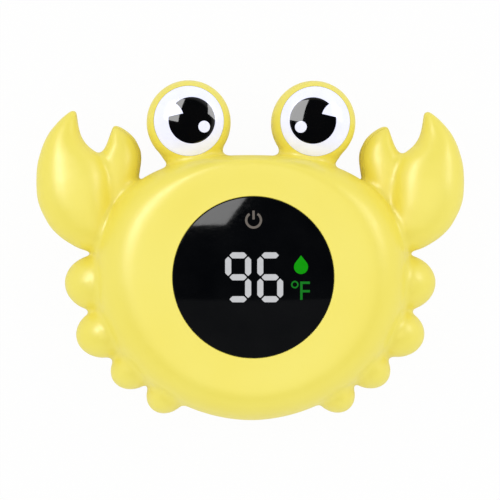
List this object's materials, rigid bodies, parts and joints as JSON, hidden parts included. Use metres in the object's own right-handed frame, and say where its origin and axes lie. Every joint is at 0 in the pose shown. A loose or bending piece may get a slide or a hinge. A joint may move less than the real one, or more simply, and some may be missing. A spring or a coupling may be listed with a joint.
{
  "type": "baby bath thermometer",
  "caption": "Crab-shaped floating bath thermometer with a round lit display, domed eyes, claws and a charging seat in its back.",
  "frame": {"origin": "centre of the bounding box's bottom, in the plane of the flat back that the part lies on", "axes": "+X across the crab towards the viewer's right, +Y up towards the eyes, +Z out of the display; the part lies on its back"},
  "size_m": [0.1192, 0.0957, 0.0322],
  "materials": {
    "yellow_plastic": "satin moulded yellow",
    "lens_black": "polished black",
    "black_foam": "dull black foam",
    "digit_white": "milky white",
    "sign_green": "clear green",
    "sign_grey": "warm grey",
    "reflector_white": "matt white",
    "board_green": "green lacquered board",
    "steel": "bright steel",
    "gold_plate": "gold-plated",
    "battery_foil": "dull foil",
    "black_rubber": "black rubber",
    "thermistor_bead": "dark glazed bead",
    "eye_white": "polished white",
    "pupil_black": "polished black"
  },
  "bodies": {
    "root": {"front_shell": "yellow_plastic", "rear_shell": "yellow_plastic", "display_lens": "lens_black", "lens_gasket": "black_foam", "tens_light_guide": "digit_white", "units_light_guide": "digit_white", "drop_light_guide": "sign_green", "unit_light_guide": "sign_green", "power_light_guide": "sign_grey", "display_reflector": "reflector_white", "main_board": "board_green", "board_screw_1": "steel", "board_screw_2": "steel", "board_screw_3": "steel", "board_screw_4": "steel", "touch_spring": "steel", "battery": "battery_foil", "battery_pad": "black_foam", "sensor_cap": "steel", "sensor_seal": "black_rubber", "thermistor": "thermistor_bead", "charge_contact_left": "gold_plate", "charge_contact_right": "gold_plate", "charge_magnet_lower": "steel", "charge_magnet_upper": "steel", "contact_holder": "board_green", "left_eye_white": "eye_white", "left_pupil": "pupil_black", "left_glint": "eye_white", "right_eye_white": "eye_white", "right_pupil": "pupil_black", "right_glint": "eye_white"}
  },
  "joints": []
}
